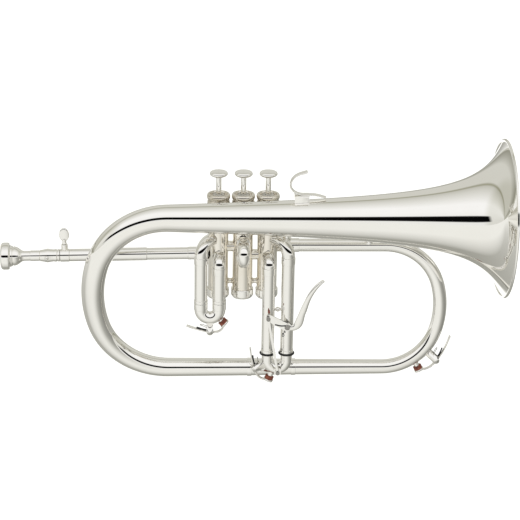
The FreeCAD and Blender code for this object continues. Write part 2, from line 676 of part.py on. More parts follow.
def finger_hook():
    """Hook for the little finger, curled from a strip on a foot soldered to the bell."""
    width = 7.0
    strip = [
        (77.5, 77.6, 170, 1.2), (70.0, 79.6, 172, 1.8), (60.0, 80.4, 179, 2.0), (52.5, 81.0, 170, 2.0),
        (46.6, 84.0, 135, 2.0), (43.6, 89.5, 95, 2.0), (45.4, 96.0, 60, 2.1), (50.6, 100.4, 25, 2.2),
        (59.5, 103.4, 18, 2.6),
    ]
    sections = [(x, BELL_Y, z, angle, size) for x, z, angle, size in strip]
    hook = oval_loft(sections, width)
    foot = box(V(47.5, BELL_Y - 5.5, BELL_Z + 8), V(61.5, BELL_Y + 5.5, 80.2))
    hook = fuse([foot, hook])
    start, end = 40.0, 85.0
    bell_side = Part.makeCone(bell_radius(start) + 0.05, bell_radius(end) + 0.05, end - start,
                              V(start, BELL_Y, BELL_Z), X_AXIS)
    return hook.cut(bell_side)


# Water keys, drawn about their own hinge pin: local +X to the finger tip, local +Z to the tube.
KEY_BARREL_R = 2.4
KEY_PIN_R = 1.0
KEY_HALF_WIDTH = 3.0
CORK_R = 4.3
CORK_THICK = 3.4
CUP_THICK = 1.6
NIPPLE_R = 2.6
COIL_INNER_Y = 1.4          # the coils lie between here and the barrel's ends


def direction(degrees):
    return V(math.cos(math.radians(degrees)), 0, math.sin(math.radians(degrees)))


def water_keys():
    """The three keys: hinge place, heading of the finger tip and of the tube in degrees, distance
    from pin to tube, finger tip, cork centre and the cork's lean in the key's own frame, and its tube."""
    first = V(-32.0, LEG_Y, -65.4)
    third = V(13.4, LEG_Y, -105.5)
    front = V(196.1, BOTTOM_Y + 0.9, -104.5)
    first_tube = crook_route(FIRST_LEG_X, FIRST_END_Z, FIRST_ARC_Z, SLEEVE_R)
    third_tube = crook_route(THIRD_LEG_X, THIRD_END_Z, THIRD_ARC_Z, SLIDE_R)
    return (
        (first, 180.0, 90.0, 7.5, (22.8, 5.4), (-12.7, 9.5), 46.0, first_tube),
        (third, 117.0, 27.0, 8.0, (21.2, 4.9), (-15.7, 7.7), 47.5, third_tube),
        (front, 45.7, 135.7, 9.3, (27.2, 8.4), (-18.7, 6.5), 71.0, front_bow_outside()),
    )


def in_key_frame(shape, key):
    """Carries a shape drawn in its own X-Z plane to the key's place on the instrument."""
    origin, tip, tube = key[:3]
    along, towards = direction(tip), direction(tube)
    turn = FreeCAD.Rotation(along, towards.cross(along), towards, "XZY")
    shape.Placement = FreeCAD.Placement(origin, turn)
    return shape


def cork_frame(key):
    """Cork centre and its pressing direction in the key's own frame."""
    cork_x, cork_z = key[5]
    return V(cork_x, 0, cork_z), direction(key[6])


def key_saddle(key):
    """Saddle soldered to the tube, with its two ears, the hinge pin and the nipple under the cork."""
    surface = key[3]
    ear_in = KEY_HALF_WIDTH + 0.2
    ear_out = ear_in + 1.3
    pieces = []
    for low, high in ((-ear_out, -ear_in), (ear_in, ear_out)):
        pieces.append(cylinder(3.3, V(0, low, 0), Y_AXIS, high - low))
        pieces.append(box(V(-3.3, low, 0), V(3.3, high, surface + 2.5)))
    pieces.append(box(V(-3.3, -ear_out, surface - 1.2), V(3.3, ear_out, surface + 2.5)))
    pieces.append(cylinder(KEY_PIN_R, V(0, -ear_out - 0.5, 0), Y_AXIS, 2 * ear_out + 1.0))
    centre, press = cork_frame(key)
    nipple = ring(NIPPLE_R, 1.6, centre + press * (CORK_THICK / 2 + 0.1), press, 5.5)
    saddle = in_key_frame(Part.makeCompound([fuse(pieces), nipple]), key)
    return saddle.cut(key[7])


def key_lever(key):
    """Hinge barrel, finger arm and the arm that carries the cork's cup, with the cup."""
    tip_x, tip_z = key[4]
    centre, press = cork_frame(key)
    barrel = cylinder(KEY_BARREL_R, V(0, -KEY_HALF_WIDTH, 0), Y_AXIS, 2 * KEY_HALF_WIDTH)
    finger = oval_loft([(0.5, 0, -1.2, 0, 2.0), (tip_x * 0.4, 0, tip_z * 0.16, 14, 1.7),
                        (tip_x * 0.72, 0, tip_z * 0.56, 20, 1.6), (tip_x, 0, tip_z, 26, 1.8)], 5.4)
    back = centre - press * (CORK_THICK / 2 + CUP_THICK)
    middle = V(back.x * 0.6 - 0.6, 0, back.z * 0.25 - 2.0)
    heading = math.degrees(math.atan2(back.z - middle.z, back.x - middle.x))
    arm = oval_loft([(-0.5, 0, -1.2, 180, 2.2), (middle.x, 0, middle.z, (heading + 190) / 2, 2.0),
                     (back.x + press.x * 0.6, 0, back.z + press.z * 0.6, heading, 2.0)], 4.2)
    cup = cylinder(CORK_R + 0.5, back, press, CUP_THICK)
    lever = fuse([barrel, finger, arm, cup])
    for side in (-1, 1):
        groove_start = V(0, side * COIL_INNER_Y, 0)
        lever = lever.cut(ring(KEY_BARREL_R + 1.5, KEY_BARREL_R, groove_start, Y_AXIS * side, 4.0))
    lever = lever.cut(cylinder(KEY_PIN_R + RUNNING, V(0, -10, 0), Y_AXIS, 20))
    lever = lever.cut(cylinder(0.9, V(tip_x - 2.6, 0, -5), Z_AXIS, 20))
    return in_key_frame(lever, key)


def key_cork(key):
    centre, press = cork_frame(key)
    return in_key_frame(cylinder(CORK_R, centre - press * (CORK_THICK / 2), press, CORK_THICK), key)


def key_spring(key):
    """Coils round the hinge barrel, with two legs that lean on the tube."""
    wire = 0.32
    coil_r = KEY_BARREL_R + GAP + wire
    pieces = []
    for side in (-1, 1):
        for step in range(2):
            y = side * (COIL_INNER_Y + GAP + wire + step * 0.6)
            pieces.append(Part.makeTorus(coil_r, wire, V(0, y, 0), Y_AXIS))
        start = V(0.6, side * (COIL_INNER_Y + GAP + wire), coil_r)
        pieces.append(cylinder(wire, start, V(6.0, 0, key[3] - 1.6 - coil_r), 6.6))
    return in_key_frame(fuse(pieces), key)


def trigger_bracket():
    """Post soldered to the third slide's outer sleeve, on which the trigger lever turns."""
    x, z = PIVOT
    post = cylinder(3.4, V(x, LEG_Y, z), -Y_AXIS, LEG_Y - LEVER_BACK_Y - GAP)
    post = post.cut(cylinder(SLEEVE_R + 0.02, V(THIRD_LEG_X[0], LEG_Y, z - 10), Z_AXIS, 20))
    return post


def trigger_lever():
    """Tapered arm to the rod, and the curved finger lever, in one piece."""
    x, z = PIVOT
    end_x, end_z = ARM_END
    front = LEVER_BACK_Y - LEVER_THICK
    corners = [V(x + 0.5, front, z + 4.0), V(end_x + 1.0, front, end_z + 4.0), V(end_x - 1.6, front, end_z + 2.6),
               V(end_x - 2.4, front, end_z - 1.0), V(end_x + 0.4, front, end_z - 3.2), V(x - 12.0, front, z + 1.6),
               V(x - 2.0, front, z - 3.8), V(x + 2.5, front, z - 3.8)]
    plate = Part.Face(Part.makePolygon(corners + corners[:1])).extrude(Y_AXIS * LEVER_THICK)
    hub = cylinder(4.1, V(x, front, z), Y_AXIS, LEVER_THICK)
    y = LEVER_BACK_Y - LEVER_THICK / 2
    finger = oval_loft([
        (x + 1.0, y, z - 0.6, -8, 5.8), (x + 4.6, y, z - 0.9, 0, 6.0), (x + 9.2, y, z + 1.4, 48, 7.2),
        (x + 12.2, y, z + 8.0, 72, 7.6), (x + 15.2, y, z + 17.4, 72, 6.4), (x + 18.2, y, z + 25.9, 67, 5.4),
        (x + 23.6, y, z + 37.1, 60, 4.5), (x + 28.4, y, z + 43.5, 48, 3.8), (x + 34.4, y, z + 48.8, 38, 2.8),
    ], 3.2)
    clear_back = box(V(x - 20, LEVER_BACK_Y, z - 20), V(x + 8, 0, z + 20))
    lever = fuse([plate, hub, finger]).cut(clear_back)
    lever = lever.cut(cylinder(TRIGGER_PIN_R + RUNNING, V(x, 0, z), -Y_AXIS, 60))
    return lever.cut(cylinder(ROD_PIN_R + RUNNING, V(end_x, 0, end_z), -Y_AXIS, 60))


def trigger_pivot_screw():
    x, z = PIVOT
    front = LEVER_BACK_Y - LEVER_THICK - 0.7
    shaft = cylinder(TRIGGER_PIN_R, V(x, LEVER_BACK_Y + GAP, z), -Y_AXIS, LEVER_BACK_Y + GAP - front)
    return shaft.fuse(cylinder(2.8, V(x, front, z), -Y_AXIS, 1.8))


def trigger_spring():
    """Torsion spring round the post, with a leg along the arm and a hook at the sleeve."""
    x, z = PIVOT
    wire = 0.42
    coil_r = 4.2
    pieces = []
    for step in range(3):
        pieces.append(Part.makeTorus(coil_r, wire, V(x, LEVER_BACK_Y + 0.85 + step * 0.85, z), Y_AXIS))
    leg_start = V(x - 1.0, LEVER_BACK_Y + 0.9, z + coil_r)
    pieces.append(cylinder(wire, leg_start, V(-11.5, 0, -1.5), 11.6))
    hook_start = V(x + coil_r, LEVER_BACK_Y + 2.8, z)
    pieces.append(cylinder(wire, hook_start, V(-3.5, 0.0, -7.0), 8.0))
    return fuse(pieces)


def trigger_rod():
    """Flat connecting rod with an eye at each end."""
    top = V(ARM_END[0], LEVER_BACK_Y - LEVER_THICK - 0.2, ARM_END[1])
    low = V(ROD_END[0], top.y, ROD_END[1])
    along = (low - top).normalize()
    across = along.cross(Y_AXIS)
    half = 1.2
    corners = [top + across * half, low + across * half, low - across * half, top - across * half]
    bar = Part.Face(Part.makePolygon(corners + corners[:1])).extrude(-Y_AXIS * ROD_THICK)
    eyes = [cylinder(2.2, point, -Y_AXIS, ROD_THICK) for point in (top, low)]
    rod = fuse([bar] + eyes)
    for point in (top, low):
        rod = rod.cut(cylinder(ROD_PIN_R, point + Y_AXIS, -Y_AXIS, 10))
    return rod


def rod_screws():
    """The two shoulder screws held in the rod's eyes."""
    screws = []
    front = LEVER_BACK_Y - LEVER_THICK - 0.2 - ROD_THICK
    for x, z in (ARM_END, ROD_END):
        shaft = cylinder(ROD_PIN_R, V(x, LEVER_BACK_Y, z), -Y_AXIS, LEVER_BACK_Y - front)
        screws.append(shaft.fuse(cylinder(2.0, V(x, front, z), -Y_AXIS, 1.3)))
    return Part.makeCompound(screws)


def trigger_bumper():
    """Small cork on the sleeve that the trigger arm comes to rest against."""
    x, z = ARM_END
    centre = V(x + 0.6, LEG_Y, z + 6.1)
    cork = cylinder(1.7, centre, -Y_AXIS, LEG_Y - LEVER_BACK_Y + LEVER_THICK)
    return cork.cut(cylinder(SLEEVE_R + 0.02, V(THIRD_LEG_X[1], LEG_Y, z - 10), Z_AXIS, 30))


def all_nodes():
    nodes = {
        "bell": bell(),
        "bell_bow": bell_bow(),
        "bottom_tube": bottom_tube(),
        "front_bow": front_bow(),
        "tube_ferrules": tube_ferrules(),
        "tube_braces": tube_braces(),
        "valve_connectors": valve_connectors(),
        "first_slide_sleeves": slide_sleeves(1, FIRST_END_Z),
        "first_slide": first_slide(),
        "second_slide_sleeves": second_sleeves(),
        "second_slide": second_slide(),
        "third_slide_sleeves": slide_sleeves(3, THIRD_END_Z),
        "third_slide": third_slide(),
        "slide_bumper_rings": slide_bumper_rings(),
        "leadpipe": leadpipe(),
        "clamp_collar": clamp_collar(),
        "clamp_screw": clamp_screw(),
        "tuning_shank": tuning_shank(),
        "mouthpiece": mouthpiece(),
        "finger_hook": finger_hook(),
        "trigger_bracket": trigger_bracket(),
        "trigger_lever": trigger_lever(),
        "trigger_pivot_screw": trigger_pivot_screw(),
        "trigger_spring": trigger_spring(),
        "trigger_rod": trigger_rod(),
        "rod_screws": rod_screws(),
        "trigger_bumper": trigger_bumper(),
    }
    numbers = range(1, VALVES + 1)
    nodes["top_caps"] = Part.makeCompound([top_cap(number) for number in numbers])
    nodes["bottom_caps"] = Part.makeCompound([foot_cap(number) for number in numbers])
    nodes["cap_felts"] = Part.makeCompound([cap_felt(number) for number in numbers])
    nodes["valve_guides"] = Part.makeCompound([valve_guide(number) for number in numbers])
    for number in numbers:
        nodes[f"valve_casing_{number}"] = valve_casing(number)
        nodes[f"piston_{number}"] = piston(number)
        nodes[f"valve_spring_{number}"] = valve_spring(number)
        nodes[f"valve_stem_{number}"] = valve_stem(number)
        nodes[f"finger_button_{number}"] = finger_button(number)
    for number, key in enumerate(water_keys(), start=1):
        nodes[f"water_key_saddle_{number}"] = key_saddle(key)
        nodes[f"water_key_lever_{number}"] = key_lever(key)
        nodes[f"water_key_cork_{number}"] = key_cork(key)
        nodes[f"water_key_spring_{number}"] = key_spring(key)
    return nodes


os.makedirs("parts", exist_ok=True)
for name, shape in all_nodes().items():
    print(f"{name:24s} solids {len(shape.Solids)} valid {shape.isValid()} volume {shape.Volume:.1f}")
    shape.exportStep(os.path.join("parts", name + ".step"))
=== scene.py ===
import bmesh
import bpy
import json
import math
from mathutils import Matrix, Vector

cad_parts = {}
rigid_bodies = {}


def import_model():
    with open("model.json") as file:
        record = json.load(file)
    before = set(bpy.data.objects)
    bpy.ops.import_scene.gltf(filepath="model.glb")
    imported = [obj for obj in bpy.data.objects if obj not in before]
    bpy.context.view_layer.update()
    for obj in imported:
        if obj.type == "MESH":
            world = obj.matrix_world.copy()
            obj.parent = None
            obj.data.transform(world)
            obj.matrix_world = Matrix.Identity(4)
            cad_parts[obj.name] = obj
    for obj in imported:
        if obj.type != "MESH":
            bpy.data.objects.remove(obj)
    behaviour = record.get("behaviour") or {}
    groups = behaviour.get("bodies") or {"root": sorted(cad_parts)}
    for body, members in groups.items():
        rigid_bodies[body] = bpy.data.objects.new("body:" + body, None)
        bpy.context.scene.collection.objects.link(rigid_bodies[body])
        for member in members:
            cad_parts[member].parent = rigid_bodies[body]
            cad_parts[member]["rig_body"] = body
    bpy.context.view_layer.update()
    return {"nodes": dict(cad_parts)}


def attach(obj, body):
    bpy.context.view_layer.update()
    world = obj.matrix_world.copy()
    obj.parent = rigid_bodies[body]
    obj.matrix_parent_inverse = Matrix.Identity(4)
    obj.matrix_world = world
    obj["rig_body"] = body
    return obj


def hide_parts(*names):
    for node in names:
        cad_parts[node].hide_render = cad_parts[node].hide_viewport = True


# Looks of a silver-plated flugelhorn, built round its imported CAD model.  Metres.
# +X runs along the bell towards its mouth, +Z up along the valves, -Y to the player's right.

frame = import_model()

MM = 0.001
X_AXIS = Vector((1, 0, 0))
Y_AXIS = Vector((0, 1, 0))
Z_AXIS = Vector((0, 0, 1))


def P(x, y, z):
    """A point given in millimetres."""
    return Vector((x, y, z)) * MM


# ---------------------------------------------------------------- materials

def grey(value, warm=0.0):
    """A display grey from 0 to 1 as linear colour, with a warm tint taken out of the blue."""
    def linear(v):
        v = max(v, 0.0)
        return v / 12.92 if v <= 0.04045 else ((v + 0.055) / 1.055) ** 2.4
    return (linear(value), linear(value - 0.05 * warm), linear(value - warm), 1.0)


def new_material(name, colour, metallic, roughness):
    """A plain material and its shader node, ready for texture nodes."""
    material = bpy.data.materials.new(name)
    material.use_nodes = True
    shader = material.node_tree.nodes["Principled BSDF"]
    shader.inputs["Base Color"].default_value = colour
    shader.inputs["Metallic"].default_value = metallic
    shader.inputs["Roughness"].default_value = roughness
    return material, shader


def add_noise(material, scale, detail):
    nodes = material.node_tree.nodes
    place = nodes.new("ShaderNodeTexCoord")
    noise = nodes.new("ShaderNodeTexNoise")
    noise.inputs["Scale"].default_value = scale
    noise.inputs["Detail"].default_value = detail
    material.node_tree.links.new(place.outputs["Object"], noise.inputs["Vector"])
    return noise


def vary(material, shader, socket, scale, low, high, detail=4.0):
    """Drives a plain value between low and high with noise."""
    noise = add_noise(material, scale, detail)
    spread = material.node_tree.nodes.new("ShaderNodeMapRange")
    spread.inputs["From Min"].default_value = 0.3
    spread.inputs["From Max"].default_value = 0.7
    spread.inputs["To Min"].default_value = low
    spread.inputs["To Max"].default_value = high
    links = material.node_tree.links
    links.new(noise.outputs["Fac"], spread.inputs["Value"])
    links.new(spread.outputs["Result"], shader.inputs[socket])


def tint(material, shader, scale, first, last):
    """Mottles the colour between two near tones."""
    noise = add_noise(material, scale, 5.0)
    ramp = material.node_tree.nodes.new("ShaderNodeValToRGB")
    ramp.color_ramp.elements[0].position = 0.35
    ramp.color_ramp.elements[0].color = first
    ramp.color_ramp.elements[1].position = 0.65
    ramp.color_ramp.elements[1].color = last
    links = material.node_tree.links
    links.new(noise.outputs["Fac"], ramp.inputs["Fac"])
    links.new(ramp.outputs["Color"], shader.inputs["Base Color"])


def bump(material, shader, scale, strength, distance):
    """Fine noise relief."""
    noise = add_noise(material, scale, 6.0)
    node = material.node_tree.nodes.new("ShaderNodeBump")
    node.inputs["Strength"].default_value = strength
    node.inputs["Distance"].default_value = distance
    links = material.node_tree.links
    links.new(noise.outputs["Fac"], node.inputs["Height"])
    links.new(node.outputs["Normal"], shader.inputs["Normal"])


def silver(name, low, high, ripple, first=(0.965, 0.96, 0.948, 1), last=(0.94, 0.932, 0.912, 1)):
    material, shader = new_material(name, (0.955, 0.95, 0.938, 1), 1.0, low)
    vary(material, shader, "Roughness", 60.0, low, high)
    tint(material, shader, 22.0, first, last)
    bump(material, shader, 35.0, ripple, 0.0004)
    return material


SILVER = silver("silver_plate", 0.02, 0.05, 0.02, (0.97, 0.957, 0.927, 1), (0.955, 0.94, 0.905, 1))
# The valve casings and connectors get a darker, browner copy of the silver: painted shade standing in for the
# inter-reflections in the valve cluster.
SHADED_VALVE_SILVER = silver("valve_silver", 0.04, 0.09, 0.03, (0.95, 0.915, 0.85, 1), (0.89, 0.845, 0.76, 1))
# The top caps get a darker, browner silver than the rest: painted shade on the knurled band and rim; the higher
# roughness and the teeth cut into the mesh are real.
SHADED_KNURL_SILVER = silver("knurled_silver_shaded", 0.12, 0.2, 0.08, (0.82, 0.78, 0.71, 1), (0.74, 0.69, 0.6, 1))

BORE, _shader = new_material("bore_brass", (0.5, 0.45, 0.36, 1), 0.55, 0.5)
tint(BORE, _shader, 40.0, (0.55, 0.5, 0.41, 1), (0.42, 0.37, 0.29, 1))
vary(BORE, _shader, "Roughness", 90.0, 0.42, 0.6)

PISTON, _shader = new_material("piston_metal", (0.68, 0.67, 0.65, 1), 1.0, 0.2)
vary(PISTON, _shader, "Roughness", 180.0, 0.16, 0.28)
bump(PISTON, _shader, 900.0, 0.05, 0.0002)

STEEL, _shader = new_material("spring_wire", (0.34, 0.33, 0.31, 1), 1.0, 0.28)
vary(STEEL, _shader, "Roughness", 400.0, 0.22, 0.4)

BLUED, _shader = new_material("blued_steel", (0.06, 0.06, 0.065, 1), 0.9, 0.3)
vary(BLUED, _shader, "Roughness", 300.0, 0.24, 0.42)

RUBBER, _shader = new_material("bumper_rubber", (0.012, 0.012, 0.012, 1), 0.0, 0.5)
vary(RUBBER, _shader, "Roughness", 500.0, 0.42, 0.6)
bump(RUBBER, _shader, 2500.0, 0.2, 0.0002)

CORK, _shader = new_material("cork", (0.3, 0.07, 0.04, 1), 0.0, 0.6)
tint(CORK, _shader, 500.0, (0.40, 0.11, 0.06, 1), (0.16, 0.035, 0.02, 1))
bump(CORK, _shader, 1400.0, 0.5, 0.0003)

FELT, _shader = new_material("felt", (0.7, 0.68, 0.62, 1), 0.0, 0.95)
tint(FELT, _shader, 900.0, (0.74, 0.72, 0.66, 1), (0.6, 0.58, 0.52, 1))
bump(FELT, _shader, 3000.0, 0.6, 0.0003)

NYLON, _shader = new_material("guide_nylon", (0.82, 0.8, 0.74, 1), 0.0, 0.4)
bump(NYLON, _shader, 800.0, 0.1, 0.0001)


# ---------------------------------------------------------------- mesh tools

def make_object(name, verts, faces, material, sharp=35.0):
    """A smoothly shaded mesh object, sharp only at edges over the given angle."""
    mesh = bpy.data.meshes.new(name)
    mesh.from_pydata([tuple(v) for v in verts], [], faces)
    mesh.materials.append(material)
    work = bmesh.new()
    work.from_mesh(mesh)
    bmesh.ops.recalc_face_normals(work, faces=work.faces)
    work.to_mesh(mesh)
    work.free()
    mesh.shade_smooth()
    mesh.set_sharp_from_angle(angle=math.radians(sharp))
    thing = bpy.data.objects.new(name, mesh)
    bpy.context.scene.collection.objects.link(thing)
    return thing


def place(thing, node, slot_name, also=()):
    """Shows a finished object in place of CAD nodes, riding on their body."""
    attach(thing, frame["nodes"][node]["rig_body"])
    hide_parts(node, *also)
    return thing


def rings_to_mesh(rings, closed_along):
    """Faces between rings of equal length; closed_along joins the last ring to the first."""
    count = len(rings[0])
    verts = [v for loop in rings for v in loop]
    faces = []
    spans = len(rings) if closed_along else len(rings) - 1
    for i in range(spans):
        a, b = i * count, ((i + 1) % len(rings)) * count
        for j in range(count):
            k = (j + 1) % count
            faces.append((a + j, a + k, b + k, b + j))
    return verts, faces


def lathe_rings(outline, base, direction, segments, wave=None):
    """Circles round an axis for each (along, radius) of an outline; wave(along, step) adds relief."""
    axis = direction.normalized()
    side = axis.cross(Y_AXIS)
    if side.length < 0.1:
        side = axis.cross(X_AXIS)
    side.normalize()
    up = axis.cross(side)
    loops = []
    for along, radius in outline:
        loop = []
        for j in range(segments):
            angle = 2 * math.pi * j / segments
            r = radius + (wave(along, j) if wave else 0.0)
            loop.append(base + axis * along + (side * math.cos(angle) + up * math.sin(angle)) * max(r, 1e-5))
        loops.append(loop)
    return loops


def lathe(name, outline_mm, base, direction, material, segments=96, closed=True, sharp=35.0, wave=None):
    outline = [(a * MM, r * MM) for a, r in outline_mm]
    verts, faces = rings_to_mesh(lathe_rings(outline, base, direction, segments, wave), closed)
    return make_object(name, verts, faces, material, sharp)


def rounded(points, radius, steps=4):
    """Rounds each corner of a closed (along, radius) outline in millimetres."""
    out = []
    count = len(points)
    for i, point in enumerate(points):
        here = Vector(point)
        before = Vector(points[i - 1]) - here
        after = Vector(points[(i + 1) % count]) - here
        cut = min(radius, before.length * 0.45, after.length * 0.45)
        start = here + before.normalized() * cut
        end = here + after.normalized() * cut
        for s in range(steps + 1):
            t = s / steps
            spot = start * (1 - t) ** 2 + here * (2 * t * (1 - t)) + end * t ** 2
            out.append((spot.x, spot.y))
    return out


def sweep_rings(centres, radii, segments):
    """Circles square to a line of centres, without twist from one to the next."""
    loops = []
    up = None
    for i, centre in enumerate(centres):
        ahead = centres[min(i + 1, len(centres) - 1)] - centres[max(i - 1, 0)]
        along = ahead.normalized()
        if up is None:
            guess = Y_AXIS if abs(along.y) < 0.8 else Z_AXIS
            up = (guess - along * guess.dot(along)).normalized()
        else:
            up = (up - along * up.dot(along)).normalized()
        side = along.cross(up)
        loops.append([centre + (side * math.cos(2 * math.pi * j / segments) +
                                up * math.sin(2 * math.pi * j / segments)) * radii[i] for j in range(segments)])
    return loops


def pipe(name, centres, outer, wall, material, segments=64):
    """A hollow tube along centres (metres) with outer radii in millimetres."""
    radii = [r * MM for r in outer]
    outside = sweep_rings(centres, radii, segments)
    inside = sweep_rings(centres, [r - wall * MM for r in radii], segments)
    verts, faces = rings_to_mesh(outside + inside[::-1], True)
    return make_object(name, verts, faces, material, 40.0)


def straight(first, last, steps):
    return [first.lerp(last, i / steps) for i in range(steps + 1)]


def bend_route(points, bends, step_angle=3.0):
    """Centreline along straight runs with tangent arcs at the corners, in metres."""
    line = [points[0]]
    for i in range(1, len(points) - 1):
        corner = points[i]
        inward = (corner - points[i - 1]).normalized()
        outward = (points[i + 1] - corner).normalized()
        turn = inward.angle(outward)
        setback = bends[i - 1] * math.tan(turn / 2)
        start = corner - inward * setback
        axis = inward.cross(outward).normalized()
        centre = start + axis.cross(inward) * bends[i - 1]
        steps = max(6, int(math.degrees(turn) / step_angle))
        for s in range(steps + 1):
            spot = centre + Matrix.Rotation(turn * s / steps, 3, axis) @ (start - centre)
            if (spot - line[-1]).length > 1e-5:
                line.append(spot)
    if (points[-1] - line[-1]).length > 1e-5:
        line.append(points[-1])
    return line


def join(name, parts):
    """One object from several, keeping their materials."""
    for thing in bpy.context.selected_objects:
        thing.select_set(False)
    for part in parts:
        part.select_set(True)
    bpy.context.view_layer.objects.active = parts[0]
    bpy.ops.object.join()
    parts[0].name = name
    parts[0].select_set(False)
    return parts[0]


def refine(node, material, slot_name, sharp=32.0, bevel=0.0):
    """A welded, smoothly shaded copy of a CAD node."""
    source = frame["nodes"][node]
    mesh = source.data.copy()
    mesh.materials.clear()
    mesh.materials.append(material)
    work = bmesh.new()
    work.from_mesh(mesh)
    bmesh.ops.remove_doubles(work, verts=work.verts, dist=2e-6)
    work.to_mesh(mesh)
    work.free()
    mesh.shade_smooth()
    mesh.set_sharp_from_angle(angle=math.radians(sharp))
    thing = bpy.data.objects.new("look_" + node, mesh)
    bpy.context.scene.collection.objects.link(thing)
    if bevel:
        rounding = thing.modifiers.new("edge", "BEVEL")
        rounding.width = bevel * MM
        rounding.segments = 3
        rounding.limit_method = "ANGLE"
        rounding.angle_limit = math.radians(40)
        rounding.harden_normals = True
    return place(thing, node, slot_name)


# ---------------------------------------------------------------- bell and bows

# Centre line and ends of the bell, in millimetres.
BELL_Y, BELL_Z = -30.0, 56.2
BELL_START, BELL_END = -72.5, 249.4

# The tubes that follow it, down to the valves: where each starts or ends, and its outer radius.
BOTTOM = Vector((0, -2.0, -112.0))
OUTLET = Vector((0, 5.0, 16.0))
BELL_BOW_DEPTH, FRONT_BOW_DEPTH = 73.8, 56.7
BOW_END_X, FRONT_FERRULE_X, FRONT_BOW_X, OUTLET_X = 8.0, 52.0, 140.9, 54.0
BOW_LOW_R, BOTTOM_TUBE_R, OUTLET_R = 9.3, 8.7, 6.4


def bell_radius(x):
    """Outer radius of the bell at x, in millimetres."""
    return 9.2 + 0.017 * x + 1348.0 / (275.0 - x) ** 0.951


def bow_line(start_x, low, high, depth, sign, steps):
    """Centres round a bow, from its high end to its low end, in millimetres."""
    corner_angle = math.radians(73.5)
    half = (high - low).length / 2
    upward = (high - low).normalized()
    outward = X_AXIS * sign
    middle = (high + low) * 0.5
    spread = (half - depth) / (math.cos(corner_angle) + math.sin(corner_angle) - 1)
    corner_r = half - spread * math.cos(corner_angle)
    flat_r = corner_r + spread
    line = []
    for i in range(steps + 1):
        angle = math.pi / 2 - math.pi * i / steps
        if abs(angle) > math.pi / 2 - corner_angle:
            centre = upward * (math.copysign(1, angle) * (half - corner_r))
            radius = corner_r
        else:
            centre = outward * (depth - flat_r)
            radius = flat_r
        normal = outward * math.cos(angle) + upward * math.sin(angle)
        line.append(Vector((start_x, 0, 0)) + middle + centre + normal * radius)
    return line


def build_bows():
    """The bell and its bow as one skin, the bottom tube and the front bow."""
    high = Vector((0, BELL_Y, BELL_Z))
    horn = []
    radii = []
    for i in range(240):
        x = BELL_START + (BELL_END - BELL_START) * (1 - (i / 240) ** 1.7)
        horn.append(Vector((x, BELL_Y, BELL_Z)))
        radii.append(bell_radius(x))
    curve = bow_line(BELL_START, BOTTOM, high, BELL_BOW_DEPTH, -1, 160)
    start_r = bell_radius(BELL_START)
    radii += [start_r + (BOW_LOW_R - start_r) * i / 160 for i in range(161)]
    run = straight(curve[-1], BOTTOM + X_AXIS * BOW_END_X, 24)[1:]
    radii += [BOW_LOW_R + (BOTTOM_TUBE_R - BOW_LOW_R) * (i + 1) / 24 for i in range(24)]
    skin = pipe("horn_look", [v * MM for v in horn + curve + run], radii, 0.7, SILVER, 144)
    skin.data.materials.append(BORE)
    outside = len(skin.data.vertices) // 2
    for face in skin.data.polygons:
        deep = face.center.x < (BELL_END - 62.0) * MM
        if deep and min(face.vertices) >= outside:
            face.material_index = 1
    rim = []
    for i in range(48):
        angle = 2 * math.pi * i / 48
        rim.append((BELL_END + min(1.5 * math.cos(angle), 0.9), bell_radius(BELL_END) + 1.5 * math.sin(angle)))
    wire_rim = lathe("rim_wire", rim, P(0, BELL_Y, BELL_Z), X_AXIS, SILVER, 144, True, 50.0)
    place(join("bell_look", [skin, wire_rim]), "bell", "silver_plate", ("bell_bow",))

    tube = straight(BOTTOM + X_AXIS * BOW_END_X, BOTTOM + X_AXIS * FRONT_FERRULE_X, 12)
    radii = [BOTTOM_TUBE_R - 0.8 * i / 12 for i in range(13)]
    place(pipe("bottom_tube_look", [v * MM for v in tube], radii, 0.6, SILVER, 128), "bottom_tube", "silver_plate")

    curve = bow_line(FRONT_BOW_X, BOTTOM, OUTLET, FRONT_BOW_DEPTH, 1, 160)
    first = straight(OUTLET + X_AXIS * OUTLET_X, curve[0], 20)[:-1]
    last = straight(curve[-1], BOTTOM + X_AXIS * FRONT_FERRULE_X, 20)[1:]
    radii = [OUTLET_R] * 20 + [OUTLET_R + 0.8 * i / 160 for i in range(161)]
    radii += [7.2 + 0.7 * (i + 1) / 20 for i in range(20)]
    place(pipe("front_bow_look", [v * MM for v in first + curve + last], radii, 0.6, SILVER, 128),
          "front_bow", "silver_plate")


def band(name, centre, axis, length, outer, inner, material=SILVER, segments=96):
    """A round-edged ring that starts at centre and runs along axis."""
    outline = rounded([(0, inner), (0, outer), (length, outer), (length, inner)], 0.35)
    return lathe(name, outline, centre, axis, material, segments, True, 60.0)


def build_ferrules():
    """Three bands over the joints of the big tubes."""
    parts = [
        band("f1", P(5.8, -2, -112), X_AXIS, 4.4, 9.2, 8.75),
        band("f2", P(49.8, -2, -112), X_AXIS, 4.4, 8.4, 7.95),
        band("f3", P(47.0, 5, 16), X_AXIS, 8.5, 6.9, 6.42),
    ]
    place(join("ferrules_look", parts), "tube_ferrules", "silver_plate")


# ---------------------------------------------------------------- slides

# Radii shared by the slides, and the plane of their legs, in millimetres.
SLEEVE, SLEEVE_BORE, SLIDE, SLIDE_BORE, FERRULE = 6.3, 5.85, 5.8, 5.25, 6.75
LEG_Y = -18.0


